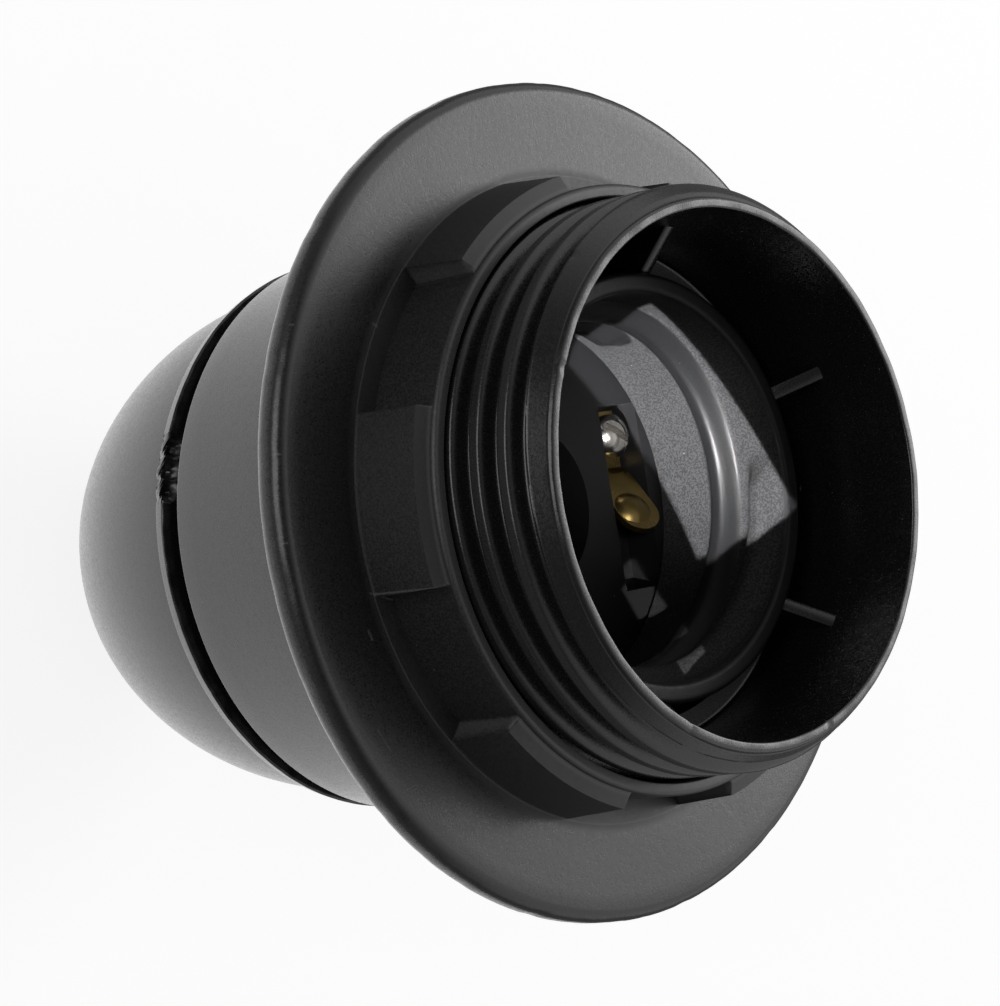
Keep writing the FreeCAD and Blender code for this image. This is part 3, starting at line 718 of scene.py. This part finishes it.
studio = {
    "floorSize": 6.0, "floorColour": (0.34, 0.34, 0.34), "floorGlow": 0.82,
    "mirrorGlow": 1.34, "mirrorReach": 66.0, "mirrorFade": 5.0,
    "ambient": 0.30, "mirrorFront": 0.10, "mirrorBack": 0.75, "lamps": [
        # name, aim, direction, distance, width, height, roll and spread in degrees, power;
        # the last three stand at the mouth and light what lies inside it
        ("backSoft", (0, 0, 0.05), (-0.15, 0.862, 0.484), 0.94, 0.50, 0.50, 0, 180, 2.4),
        ("frontSoft", (0, 0, 0.05), (-0.30, -0.92, 0.20), 0.60, 0.45, 0.45, 0, 180, 1.2),
        ("spark", (-0.0040, 0.0096, 0.0440), (0.10, -0.62, 0.78), 0.030, 0.006, 0.006, 0, 40, 0.0006),
        ("mouthBeam", (-0.0046, 0.0112, 0.0472), (0.289, -0.793, 0.536),
         0.030, 0.0185, 0.0088, 12, 1, 0.0042),
        ("blockBeam", (0.0080, 0.0098, 0.0425), (0.22, -0.604, 0.766),
         0.026, 0.0036, 0.0022, 6, 1, 0.00007),
    ],
}


def makeFloor(s):
    half = s["floorSize"] / 2
    corners = [(x * half, y * half, 0) for x, y in ((-1, -1), (1, -1), (1, 1), (-1, 1))]
    floor = meshPiece("floor", corners, [(0, 1, 2, 3)])
    f = Finish("paleFloor")
    f.set(Base_Color=s["floorColour"], Roughness=0.9, Specular_IOR_Level=0.0)
    nearby = 1 - f.r.above(s["mirrorReach"] * mm, s["mirrorFade"] * mm)
    mirrored = (f.ray("Glossy") + f.ray("Transmission")).clamped() * nearby * s["mirrorGlow"]
    glow = f.add("ShaderNodeEmission", {}, {"Strength": f.ray("Camera") * s["floorGlow"] + mirrored})
    both = f.add("ShaderNodeAddShader", {}, {0: Wire(f, f.shader.outputs[0]), 1: glow})
    f.tree.links.new(both.socket, f.out.inputs["Surface"])
    floor.data.materials.append(f.material)


def makeWorld(s):
    # white to the camera, soft to matt surfaces; mirrors see it bright behind the object and dim before it
    world = bpy.data.worlds.new("studioWorld")
    bpy.context.scene.world = world
    world.use_nodes = True
    f = NodeShop(world.node_tree)
    side = f.add("ShaderNodeSeparateXYZ", {}, {0: f.add("ShaderNodeTexCoord", {}, {}, "Generated")}, 1)
    seen, shine, through = [f.ray(kind) for kind in ("Camera", "Glossy", "Transmission")]
    mirror = side.above(0.05, 0.5) * (s["mirrorBack"] - s["mirrorFront"]) + s["mirrorFront"]
    level = seen.max(through) * (1 - s["ambient"]) + shine * (mirror - s["ambient"]) + s["ambient"]
    back = f.add("ShaderNodeBackground", {}, {"Color": (1, 1, 1), "Strength": level})
    f.add("ShaderNodeOutputWorld", {}, {"Surface": back})


def makeLamps(s):
    for name, aim, toward, distance, width, height, roll, spread, power in s["lamps"]:
        data = bpy.data.lights.new(name, "AREA")
        data.shape = "RECTANGLE"
        data.size, data.size_y = width, height
        data.spread = math.radians(spread)
        data.energy = power
        lamp = bpy.data.objects.new(name, data)
        toward = Vector(toward).normalized()
        turn = toward.to_track_quat("Z", "Y").to_matrix() @ Matrix.Rotation(math.radians(roll), 3, "Z")
        lamp.matrix_world = Matrix.Translation(Vector(aim) + toward * distance) @ turn.to_4x4()
        bpy.context.scene.collection.objects.link(lamp)


camera = {
    "distance": 251.50, "tilt": 46.032, "roll": 9.169, "slideRight": -6.477, "slideDown": 0.375,
    "focal": 3601.6, "sensor": 36.0, "height": 1006, "aimZ": 48.0, "near": 0.01, "far": 50.0,
}


def makeCamera(s):
    # the view that the circles of the flange and the mouth give, worked out in the frame's axes
    tilt, roll = math.radians(s["tilt"]), math.radians(s["roll"])
    eye = Vector((0, -math.sin(tilt), math.cos(tilt))) * s["distance"]
    right0 = Vector((0, math.cos(tilt), math.sin(tilt)))
    down0 = Vector((1, 0, 0))
    right = right0 * math.cos(roll) + down0 * math.sin(roll)
    down = down0 * math.cos(roll) - right0 * math.sin(roll)
    back = eye.normalized()
    place = eye + right * s["slideRight"] + down * s["slideDown"] + Vector((0, 0, s["aimZ"]))
    data = bpy.data.cameras.new("photoCamera")
    data.sensor_fit = "AUTO"
    data.sensor_width = s["sensor"]
    data.lens = s["focal"] * s["sensor"] / s["height"]
    data.clip_start, data.clip_end = s["near"], s["far"]
    view = bpy.data.objects.new("photoCamera", data)
    turn = Matrix((right, -down, back)).transposed().to_4x4()
    view.matrix_world = Matrix.Translation(place * mm) @ turn
    bpy.context.scene.collection.objects.link(view)
    bpy.context.scene.camera = view


makeFloor(studio)
makeWorld(studio)
makeLamps(studio)
makeCamera(camera)
bpy.context.scene.view_settings.view_transform = "Standard"
print("studio ready")
